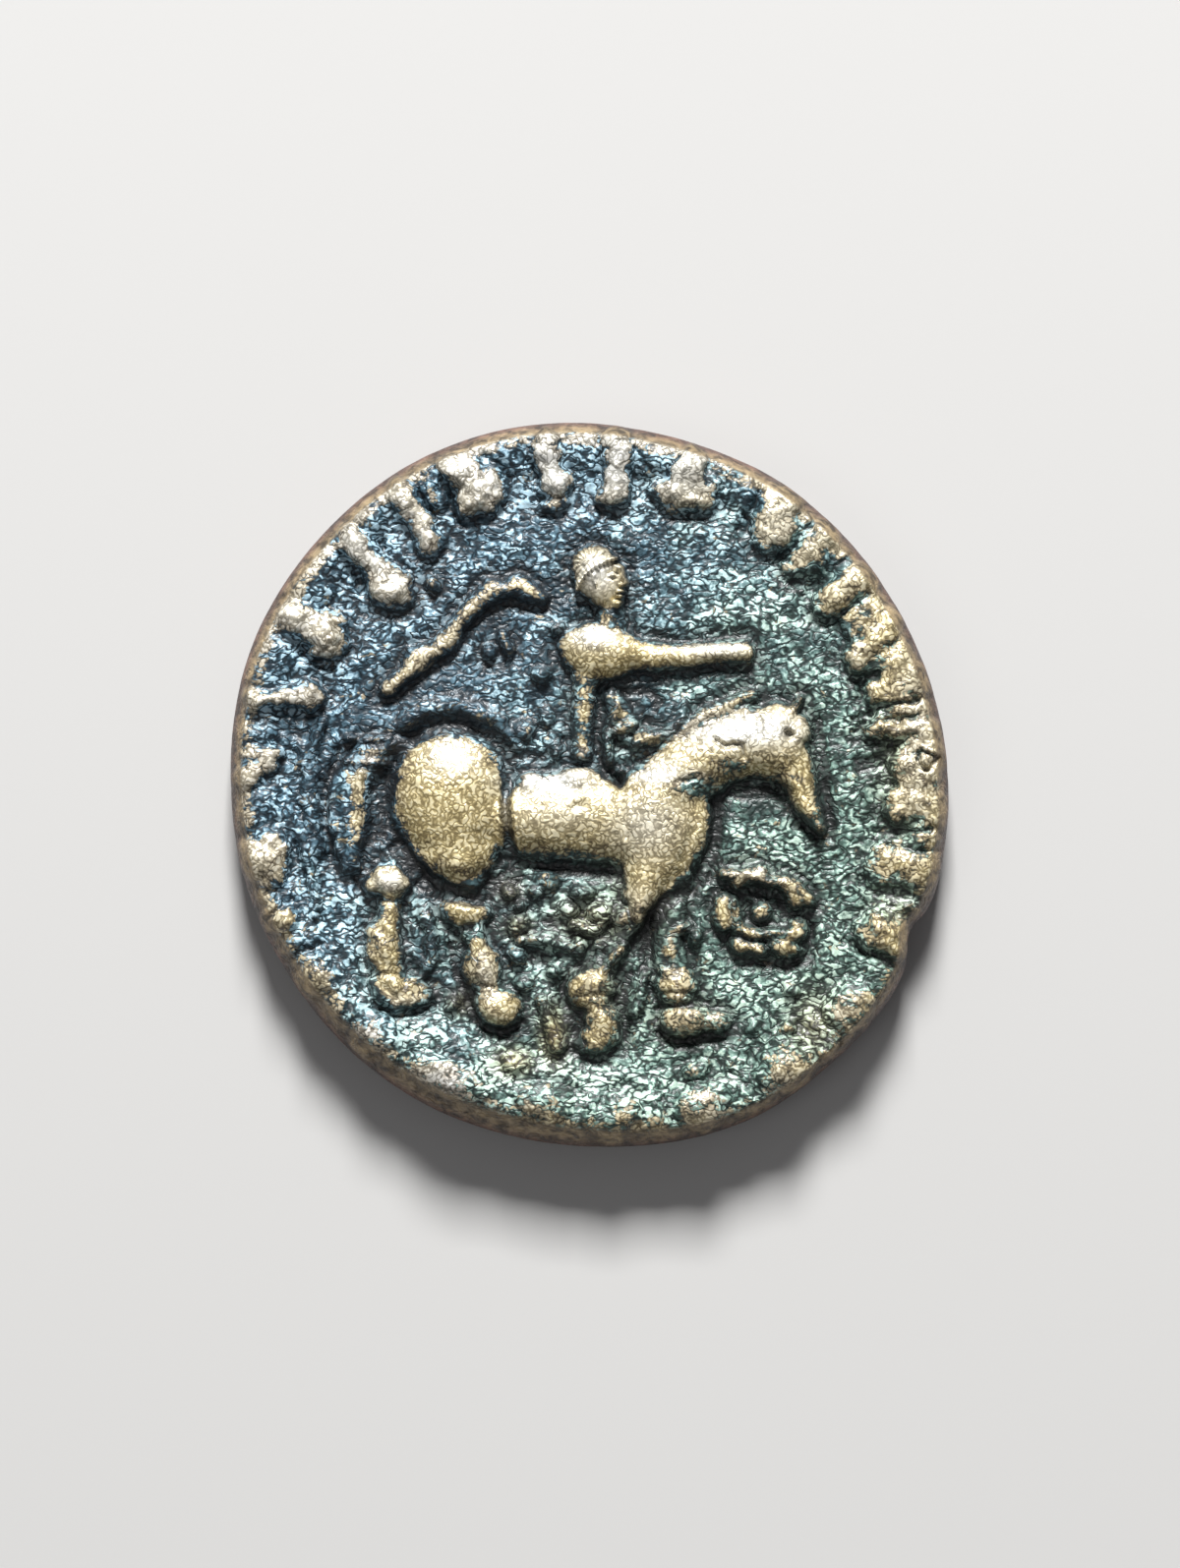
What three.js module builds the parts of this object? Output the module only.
// An ancient silver drachm, lying on its reverse: a horse and rider walk right inside a ring of worn legend strokes.
// Millimetres, +Z up. The origin is under the middle of the flan, on the surface that the coin lies on.
// Angles are in degrees, anticlockwise from +X, seen from above.
import * as THREE from "three";
import { mergeVertices } from "three/addons/utils/BufferGeometryUtils.js";

// Driving sizes
const flan = {
  diameter: 15, // mean width
  core: 1.05, // metal between the two fields
  edgeRound: 0.28, // how far the middle of the edge stands out past the struck faces
  bevel: { at: 248, spread: 26, out: 0.24 }, // the edge slopes further in on this side
};
const obverse = {
  horseRelief: 0.55, // above the field
  riderRelief: 0.45,
  legendRelief: 0.3,
  markRelief: 0.26,
  doubleStrikeRelief: 0.1,
  lipRelief: 0.16, // the raised lip where metal flowed against the die's edge
  lipWidth: 0.5,
};
const reverse = {
  wearDepth: 0.28, // from the reverse field to the worn tops, which the coin lies on
  figureRelief: 0.5, // as engraved, before wear cuts the tops off flat
  legendRelief: 0.46,
};
const figureLength = 8.8; // the horse, from its rump to its muzzle
const standingHeight = 9.2; // the figure on the reverse, from head to foot
const carving = {
  obverse: { tolerance: 0.03, shortestEdge: 0.16 }, // how far a facet may lie from the carved form
  reverse: { tolerance: 0.05, shortestEdge: 0.24 },
  blankRings: 6,
  blankSides: 24,
  wallSteps: 2,
  passes: 9,
  alignPasses: 8,
  turnBelow: 0.8, // an edge turns where that brings its misfit below this share
  leastArea: 0.003,
};

// The flan was cut and struck by hand, so its outline bulges and flattens, and one small piece has chipped off.
const outlineBumps = [
  { at: 28, spread: 24, out: -0.16 },
  { at: 76, spread: 9, out: -0.07 },
  { at: 122, spread: 22, out: 0.17 },
  { at: 158, spread: 12, out: 0.1 },
  { at: 214, spread: 10, out: -0.05 },
  { at: 296, spread: 13, out: 0.2 },
  { at: 322, spread: 8, out: 0.12 },
  { at: 335, spread: 2.6, out: -0.24 },
];

// Carving: each form is a rounded swelling above the field, either a dome or a ridge along a path.
const dome = (x, y, halfX, halfY, height, turn = 0) => ({ x, y, halfX, halfY, height, turn });
const ridge = (height, ...path) => ({ height, path }); // path points are [x, y, half width]

const ROUNDNESS = 1; // lower makes steeper sides and a more level top
const BLEND = 5; // higher keeps a sharper valley where two forms meet

const swell = (distanceSquared) => (distanceSquared < 1 ? (1 - distanceSquared) ** ROUNDNESS : 0);

function domeHeight(form, x, y) {
  const turn = THREE.MathUtils.degToRad(form.turn);
  const dx = x - form.x;
  const dy = y - form.y;
  const along = (dx * Math.cos(turn) + dy * Math.sin(turn)) / form.halfX;
  const across = (dy * Math.cos(turn) - dx * Math.sin(turn)) / form.halfY;
  return form.height * swell(along * along + across * across);
}

function ridgeHeight(form, x, y) {
  let nearest = Infinity;
  for (let i = 1; i < form.path.length; i++) {
    const [ax, ay, aHalf] = form.path[i - 1];
    const [bx, by, bHalf] = form.path[i];
    const lengthSquared = (bx - ax) ** 2 + (by - ay) ** 2;
    const share = THREE.MathUtils.clamp(((x - ax) * (bx - ax) + (y - ay) * (by - ay)) / lengthSquared, 0, 1);
    const offX = x - ax - share * (bx - ax);
    const offY = y - ay - share * (by - ay);
    const half = aHalf + share * (bHalf - aHalf);
    nearest = Math.min(nearest, (offX * offX + offY * offY) / (half * half));
  }
  return form.height * swell(nearest);
}

const formHeight = (form, x, y) => (form.path ? ridgeHeight(form, x, y) : domeHeight(form, x, y));

// The height of many forms together: the highest one, with a soft valley between neighbours.
function carvedHeight(forms, x, y) {
  const sum = forms.reduce((total, form) => total + formHeight(form, x, y) ** BLEND, 0);
  return sum ** (1 / BLEND);
}

// Forms drawn in hundredths of a figure's own size, made real.
function sized(forms, size) {
  const unit = size / 100;
  return forms.map((form) =>
    form.path
      ? { ...form, path: form.path.map((point) => point.map((value) => value * unit)) }
      : { ...form, x: form.x * unit, y: form.y * unit, halfX: form.halfX * unit, halfY: form.halfY * unit },
  );
}

// The horse and rider, in hundredths of the horse's length from the middle of the coin
function horse() {
  const top = obverse.horseRelief;
  const body = [
    dome(-33.4, -3, 12.8, 16.8, top, 4), // rump
    ridge(0.85 * top, [-17, -8, 8.6], [-10, -7.8, 10], [-2.3, -7.2, 10.2], [10.2, -8.5, 11]), // barrel
    dome(15.6, -9, 11.6, 13.4, 0.97 * top), // shoulder
    ridge(0.88 * top, [15.3, -14.8, 8.5], [11.9, -25, 4.8], [10.8, -31.2, 1.8]), // upper foreleg
    ridge(0.88 * top, [14.2, -4.5, 8.8], [22.4, 3, 7.7], [29.5, 7.6, 7.5], [37.5, 10.4, 8], [43.6, 13.6, 6]), // neck
  ];
  const head = [
    dome(42.6, 8.4, 7.4, 7, 0.95 * top), // cheek
    ridge(0.8 * top, [46, 12.4, 4.8], [49, 3.4, 3.9], [51.7, -5.4, 3], [53.4, -9.6, 2.6]), // face to muzzle
    ridge(0.6 * top, [46.4, 15.6, 1.9], [48.8, 20.2, 0.9]), // ear
    ridge(0.34 * top, [17, 8, 1.7], [26.1, 16, 2], [37.6, 21, 1.8]), // mane
  ];
  const tail = [
    ridge(0.42 * top, [-44.3, 9, 2.4], [-53.4, 7.4, 3.6], [-57.2, -1.1, 4.8], [-57.5, -10.2, 4.8], [-57, -18.6, 2.6]),
  ];
  const hindLegs = [
    ridge(0.62 * top, [-40.5, -14.2, 5], [-47.1, -21.8, 4.3], [-47.9, -29.5, 2.5], [-48.5, -38.6, 4.1], [-46.4, -47, 2.9]),
    dome(-44, -50.2, 6.4, 3.4, 0.5 * top, -8), // near hoof
    ridge(0.55 * top, [-30.7, -19.3, 5.4], [-29.5, -30.7, 3.9], [-26.9, -37.5, 2.5], [-25.9, -44.3, 4.1], [-24.2, -48.4, 3]),
    dome(-22, -52.6, 4.8, 4, 0.58 * top, -30), // off hoof
  ];
  const foreLegs = [
    ridge(0.4 * top, [10.8, -29.5, 3.6], [5.1, -38.6, 3.1], [0.4, -46.4, 4.4]),
    ridge(0.6 * top, [0.4, -47.2, 4.5], [1.2, -52.8, 3], [2.5, -57.2, 4.4]),
    ridge(0.42 * top, [19, -22, 4.5], [17.6, -36.4, 3.4], [19.5, -45, 4]),
    ridge(0.55 * top, [19.5, -46, 4.4], [21, -51.1, 3], [22.6, -55, 4.4]),
    dome(26.4, -56.4, 4, 2.5, 0.42 * top, -12), // raised toe
  ];
  return [...body, ...head, ...tail, ...hindLegs, ...foreLegs];
}

function rider() {
  const top = obverse.riderRelief;
  return [
    dome(2.3, 48.8, 6.2, 7.2, top, 8), // head
    ridge(0.62 * top, [7.6, 48.2, 2], [7.2, 43.6, 2]), // nose and chin, a plain profile
    ridge(0.7 * top, [4.2, 42, 2.6], [3.8, 37.8, 3]), // neck
    dome(2.5, 31.6, 9.3, 6.1, 0.9 * top, -6), // shoulders
    ridge(0.55 * top, [-1, 27, 3.6], [-2.2, 18.5, 2.4], [-2.2, 8, 2.5]), // waist and thigh
    ridge(0.62 * top, [8, 30.9, 3.4], [22.7, 30.2, 2.2], [36.9, 31.4, 1.9]), // arm stretched forward
    ridge(0.3 * top, [4.6, 21, 2.4], [9, 12.2, 3], [15, 10.6, 2]), // forearm at the reins
    ridge(
      0.6 * top, // the lash of the whip, flying behind
      [-14.5, 46.8, 1.5],
      [-20.9, 47.4, 2],
      [-25.6, 44.4, 2],
      [-31.4, 38.9, 1.6],
      [-34.4, 35.4, 1.9],
      [-38.3, 31.9, 2.3],
      [-43.2, 29.2, 2.1],
      [-47, 24.6, 1.5],
    ),
  ];
}

// A second, lighter blow of the die left a faint line outside the rump and beside the tail.
function doubleStrike() {
  const top = obverse.doubleStrikeRelief;
  return [
    ridge(top, [-48, 11.5, 2], [-41, 17.4, 2.3], [-32, 19.6, 2.4], [-23, 16, 2.2], [-17, 9, 1.6]),
    ridge(top, [-65, 12, 1.5], [-66, -4, 1.7], [-65, -24, 1.5]),
  ];
}

const radialPoint = (radius, degrees) => {
  const angle = THREE.MathUtils.degToRad(degrees);
  return [radius * Math.cos(angle), radius * Math.sin(angle)];
};

// A short worn stroke from the ring's inner line out to the lip. at is the angle of its inner end, lean turns its
// outer end, from is a share of the flan's radius, and inner and outer are the half widths of its ends.
function legendStroke({ at, lean = 0, from, inner, outer, share = 1 }) {
  const start = from * (flan.diameter / 2) + inner;
  const end = flan.diameter / 2 - flan.edgeRound;
  const onPath = (along, half) => [...radialPoint(start + along * (end - start), at + along * lean), half];
  return ridge(share * obverse.legendRelief, onPath(0, inner), onPath(0.5, 0.45 * (inner + outer)), onPath(1, outer));
}

// The obverse legend, worn to strokes and wedges that aren't letters, clockwise from the rider's whip
const legendStrokes = [
  { at: 176, lean: 3, from: 0.86, inner: 0.3, outer: 0.3, share: 0.7 },
  { at: 162, lean: 4, from: 0.78, inner: 0.3, outer: 0.24 },
  { at: 150.5, from: 0.775, inner: 0.55, outer: 0.26 },
  { at: 135.5, lean: -1, from: 0.705, inner: 0.47, outer: 0.3 },
  { at: 123.5, from: 0.76, inner: 0.38, outer: 0.34 },
  { at: 110.5, lean: 3, from: 0.8, inner: 0.58, outer: 0.34 },
  { at: 97.5, from: 0.785, inner: 0.42, outer: 0.24 },
  { at: 86, from: 0.765, inner: 0.34, outer: 0.3 },
  { at: 72.5, lean: 1, from: 0.785, inner: 0.7, outer: 0.22 },
  { at: 55, lean: 1, from: 0.79, inner: 0.42, outer: 0.46 },
  { at: 47, from: 0.785, inner: 0.28, outer: 0.34, share: 0.7 },
  { at: 37.5, from: 0.785, inner: 0.42, outer: 0.42 },
  { at: 25.5, lean: 3, from: 0.77, inner: 0.33, outer: 0.34 },
  { at: 18, from: 0.785, inner: 0.34, outer: 0.38, share: 0.85 },
  { at: 11.5, lean: -3, from: 0.78, inner: 0.24, outer: 0.22 },
  { at: 4, lean: 1, from: 0.82, inner: 0.36, outer: 0.46 },
  { at: -4.5, from: 0.81, inner: 0.32, outer: 0.4, share: 0.85 },
  { at: -14.5, from: 0.84, inner: 0.5, outer: 0.5, share: 0.85 },
  { at: -27, from: 0.82, inner: 0.46, outer: 0.38 },
  { at: -41, from: 0.86, inner: 0.52, outer: 0.46, share: 0.85 },
  { at: -55, from: 0.85, inner: 0.52, outer: 0.52, share: 0.85 },
  { at: -71, from: 0.88, inner: 0.46, outer: 0.46, share: 0.8 },
  { at: -87, from: 0.88, inner: 0.4, outer: 0.4, share: 0.5 },
  { at: -131, from: 0.88, inner: 0.34, outer: 0.34, share: 0.5 },
  { at: -145, from: 0.89, inner: 0.4, outer: 0.4, share: 0.6 },
  { at: -157, from: 0.9, inner: 0.34, outer: 0.34, share: 0.75 },
  { at: -167.5, from: 0.86, inner: 0.46, outer: 0.46 },
];

// Two small marks in the field: a broken ring of strokes round a pellet ahead of the horse, and a pellet and stroke behind the rider.
const ringMark = { x: 3.5, y: -2.65, radius: 0.8, strokes: 5, half: 0.22, pellet: 0.24, open: 40 };

function fieldMarks() {
  const top = obverse.markRelief;
  const { x, y, radius, strokes, half, pellet, open } = ringMark;
  const arc = 360 / strokes;
  const onRing = (degrees) => {
    const [dx, dy] = radialPoint(radius, degrees);
    return [x + dx, y + dy, half];
  };
  const ring = Array.from({ length: strokes }, (_, i) => {
    const start = i * arc + open / 2;
    const end = (i + 1) * arc - open / 2;
    return ridge(top, onRing(start), onRing((start + end) / 2), onRing(end));
  });
  const behindRider = [dome(-2.15, 2.75, 0.17, 0.17, 0.8 * top), ridge(top, [-1.85, 3.1, 0.15], [-1.75, 2.8, 0.14])];
  return [...ring, dome(x, y, pellet, pellet, 0.8 * top), ...behindRider];
}

const obverseForms = [
  ...sized([...horse(), ...rider(), ...doubleStrike()], figureLength),
  ...legendStrokes.map(legendStroke),
  ...fieldMarks(),
];

// The reverse, seen from below: a plain draped figure with a staff, in hundredths of its height from the coin's middle
function standingFigure() {
  const top = reverse.figureRelief;
  const folds = [-8, -2.8, 2.6, 7.8].map((x) => ridge(top, [0.4 * x, 4, 2.4], [0.8 * x, -16, 2.7], [x, -39, 3]));
  return [
    dome(0, 43, 5, 6.4, top), // head
    ridge(0.9 * top, [0, 37, 3.4], [0, 33, 4]), // neck
    ridge(top, [-8, 28.5, 5], [8, 28.5, 5]), // shoulders
    ridge(top, [0, 26, 8.5], [0, 12, 7], [0, 2, 8.2]), // body
    ridge(0.35 * top, [0, 0, 9], [0, -36, 11.5]), // skirt behind its folds
    ...folds,
    ridge(0.9 * top, [-4.5, -42, 3.4], [-7.5, -46, 3]), // feet
    ridge(0.9 * top, [4.5, -42, 3.4], [7.5, -46, 3]),
    ridge(0.9 * top, [9.5, 28, 3.8], [17, 18, 3.2], [20.5, 29, 3]), // raised arm
    ridge(0.9 * top, [-9.5, 28, 3.8], [-15, 15, 3.2], [-8.5, 6.5, 3]), // arm at the hip
    ridge(0.8 * top, [21, 44, 1.7], [21, -45, 1.7]), // staff
  ];
}

const reverseLegend = { strokes: 24, from: 0.77, half: 0.27, bareFrom: 236, bareTo: 304 }; // bare under the feet

function reverseStrokes() {
  const { strokes, from, half, bareFrom, bareTo } = reverseLegend;
  const outer = flan.diameter / 2 - flan.edgeRound;
  return Array.from({ length: strokes }, (_, i) => (i * 360) / strokes)
    .filter((at) => at < bareFrom || at > bareTo)
    .map((at) =>
      ridge(
        reverse.legendRelief,
        [...radialPoint((from * flan.diameter) / 2 + half, at), 1.2 * half],
        [...radialPoint(outer - half, at), half],
      ),
    );
}

const reverseForms = [...sized(standingFigure(), standingHeight), ...reverseStrokes()];

// The flan
const turnedBy = (a, b) => Math.abs(((a - b + 900) % 360) - 180);

function bumpAt(angle, { at, spread, out }) {
  return out * Math.exp(-0.5 * (turnedBy(THREE.MathUtils.radToDeg(angle), at) / spread) ** 2);
}

const outlineRadius = (angle) => outlineBumps.reduce((sum, bump) => sum + bumpAt(angle, bump), flan.diameter / 2);
const edgeDepth = (angle) => flan.edgeRound + bumpAt(angle, flan.bevel);

// The lip rises just inside the face's edge and rolls off into the edge itself.
function lipHeight(inset) {
  return obverse.lipRelief * swell(((inset - obverse.lipWidth / 2) / obverse.lipWidth) ** 2);
}

const reverseField = reverse.wearDepth;
const obverseField = reverseField + flan.core;

function obverseSurface(x, y, inset) {
  return obverseField + Math.hypot(carvedHeight(obverseForms, x, y), lipHeight(inset));
}

function reverseSurface(x, y) {
  return Math.max(0, reverseField - carvedHeight(reverseForms, -x, y));
}

// Places a point of the plain round blank on the struck coin. The blank has radius 1 and height 1.
function struck(point) {
  const angle = Math.atan2(point.y, point.x);
  const edge = edgeDepth(angle);
  const levelRadius = outlineRadius(angle) - edge * (2 * point.z - 1) ** 2;
  const radius = Math.hypot(point.x, point.y) * levelRadius;
  const x = radius * Math.cos(angle);
  const y = radius * Math.sin(angle);
  const inset = outlineRadius(angle) - edge - radius;
  const bottom = reverseSurface(x, y);
  const top = obverseSurface(x, y, inset);
  return new THREE.Vector3(x, y, THREE.MathUtils.lerp(bottom, top, point.z));
}

// A plain round blank of radius 1 and height 1, standing on z = 0, as points and triangles
function plainBlank() {
  const { blankRings, blankSides, wallSteps } = carving;
  const profile = [];
  for (let i = 0; i < blankRings; i++) profile.push(new THREE.Vector2(i / blankRings, 0));
  for (let i = 0; i <= wallSteps; i++) profile.push(new THREE.Vector2(1, i / wallSteps));
  for (let i = blankRings - 1; i >= 0; i--) profile.push(new THREE.Vector2(i / blankRings, 1));
  const lathe = new THREE.LatheGeometry(profile, blankSides);
  lathe.deleteAttribute("normal");
  lathe.deleteAttribute("uv");
  const merged = mergeVertices(lathe, 1e-4);
  const position = merged.getAttribute("position");
  // The lathe turns about Y, and the blank stands along Z.
  const standing = (i) => new THREE.Vector3(position.getX(i), -position.getZ(i), position.getY(i));
  const points = Array.from({ length: position.count }, (_, i) => standing(i));
  const triangles = [];
  for (let i = 0; i < merged.index.count; i += 3) {
    const corners = [0, 1, 2].map((k) => merged.index.getX(i + k));
    if (new Set(corners).size === 3) triangles.push(corners);
  }
  return { points, triangles };
}

const WALL = 1 - 1e-6;
const onWall = (point) => Math.hypot(point.x, point.y) > WALL;

// A point part of the way along an edge of the blank. Edges on the round wall stay round.
function alongEdge(a, b, share) {
  const point = a.clone().lerp(b, share);
  if (onWall(a) && onWall(b)) {
    const stretch = 1 / Math.hypot(point.x, point.y);
    point.x *= stretch;
    point.y *= stretch;
  }
  return point;
}

// How far the struck form lies from a straight edge between two of the coin's points
function misfit({ points, placed }, a, b) {
  const gapAt = (share) => {
    const real = struck(alongEdge(points[a], points[b], share));
    return real.distanceTo(placed[a].clone().lerp(placed[b], share));
  };
  return Math.max(gapAt(0.25), gapAt(0.5), gapAt(0.75));
}

const edgeKey = (a, b) => (a < b ? `${a},${b}` : `${b},${a}`);
const edgesOf = ([a, b, c]) => [[a, b], [b, c], [c, a]];

// Splits edges of the blank until its facets follow the struck form. placed holds the same points on the coin.
function strikeBlank({ points, triangles }) {
  const placed = points.map(struck);
  const needsSplit = (a, b) => {
    const { tolerance, shortestEdge } = points[a].z + points[b].z > 1 ? carving.obverse : carving.reverse;
    return placed[a].distanceTo(placed[b]) > 2 * shortestEdge && misfit({ points, placed }, a, b) > tolerance;
  };
  const known = new Map(); // whether an edge needs a split, by its key
  const wantsSplit = (a, b) => {
    const name = edgeKey(a, b);
    if (!known.has(name)) known.set(name, needsSplit(a, b));
    return known.get(name);
  };
  const lengthOf = ([a, b]) => placed[a].distanceTo(placed[b]);

  for (let pass = 0; pass < carving.passes; pass++) {
    const middles = new Map();
    const mark = ([a, b]) => {
      if (middles.has(edgeKey(a, b))) return false;
      const middle = alongEdge(points[a], points[b], 0.5);
      middles.set(edgeKey(a, b), points.length);
      points.push(middle);
      placed.push(struck(middle));
      return true;
    };
    triangles.flatMap(edgesOf).filter(([a, b]) => wantsSplit(a, b)).forEach(mark);
    if (middles.size === 0) break;

    // A triangle that is split at all is split across its longest side too, which keeps facets well shaped.
    let spreading = true;
    while (spreading) {
      spreading = false;
      for (const triangle of triangles) {
        const edges = edgesOf(triangle);
        if (!edges.some(([a, b]) => middles.has(edgeKey(a, b)))) continue;
        const longest = edges.reduce((best, edge) => (lengthOf(edge) > lengthOf(best) ? edge : best));
        if (mark(longest)) spreading = true;
      }
    }
    triangles = triangles.flatMap((triangle) => splitTriangle(triangle, middles, lengthOf));
  }
  return { points, placed, triangles };
}

// Cuts one triangle at the middles of its marked sides.
function splitTriangle([a, b, c], middles, lengthOf) {
  const [ab, bc, ca] = edgesOf([a, b, c]).map(([from, to]) => middles.get(edgeKey(from, to)));
  const count = [ab, bc, ca].filter((middle) => middle !== undefined).length;
  if (count === 0) return [[a, b, c]];
  if (count === 3) return [[a, ab, ca], [ab, b, bc], [ca, bc, c], [ab, bc, ca]];
  // Turn the triangle so that its first side is marked and, with two marked, its second one too.
  if (ab === undefined || (count === 2 && bc === undefined)) return splitTriangle([b, c, a], middles, lengthOf);
  if (count === 1) return [[a, ab, c], [ab, b, c]];
  const kite = lengthOf([a, bc]) < lengthOf([ab, c]) ? [[a, ab, bc], [a, bc, c]] : [[a, ab, c], [ab, bc, c]];
  return [[ab, b, bc], ...kite];
}

// Turns the shared side of two facets on a face wherever it then runs along a ridge or valley instead of across it.
function alignEdges(mesh) {
  const { points, placed, triangles } = mesh;
  const areaFromAbove = (p, q, r) => ((q.x - p.x) * (r.y - p.y) - (q.y - p.y) * (r.x - p.x)) / 2;
  for (let pass = 0; pass < carving.alignPasses; pass++) {
    const facets = new Map(); // the facets on each edge
    triangles.forEach((triangle, facet) =>
      edgesOf(triangle).forEach(([a, b]) => {
        const name = edgeKey(a, b);
        if (!facets.has(name)) facets.set(name, []);
        facets.get(name).push({ facet, a, b, opposite: triangle.find((corner) => corner !== a && corner !== b) });
      }),
    );
    const changed = new Set();
    for (const [first, second] of [...facets.values()]) {
      const { a, b, opposite: c } = first;
      const d = second.opposite;
      const face = points[a].z;
      const oneFace = (face === 0 || face === 1) && [b, c, d].every((corner) => points[corner].z === face);
      if (!oneFace || facets.has(edgeKey(c, d)) || changed.has(first.facet) || changed.has(second.facet)) continue;
      const outward = face === 1 ? 1 : -1;
      const areas = [[a, d, c], [d, b, c]].map((corners) => areaFromAbove(...corners.map((corner) => placed[corner])));
      if (Math.min(outward * areas[0], outward * areas[1]) < carving.leastArea) continue;
      if (misfit(mesh, c, d) > carving.turnBelow * misfit(mesh, a, b)) continue;
      triangles[first.facet] = [a, d, c];
      triangles[second.facet] = [d, b, c];
      facets.set(edgeKey(c, d), []);
      changed.add(first.facet).add(second.facet);
    }
    if (changed.size === 0) break;
  }
  return mesh;
}

function coinGeometry() {
  const { placed, triangles } = alignEdges(strikeBlank(plainBlank()));
  const geometry = new THREE.BufferGeometry().setFromPoints(placed);
  geometry.setIndex(triangles.flat());
  geometry.computeBoundingBox();
  const middle = geometry.boundingBox.getCenter(new THREE.Vector3());
  geometry.translate(-middle.x, -middle.y, 0);
  geometry.computeVertexNormals();
  return geometry;
}

const tonedSilver = new THREE.MeshStandardMaterial({ color: 0x7d7260, roughness: 0.45, metalness: 0.85 });

const coin = new THREE.Mesh(coinGeometry(), tonedSilver);
coin.name = "coin";

const drachm = new THREE.Group();
drachm.add(coin);
export default drachm;
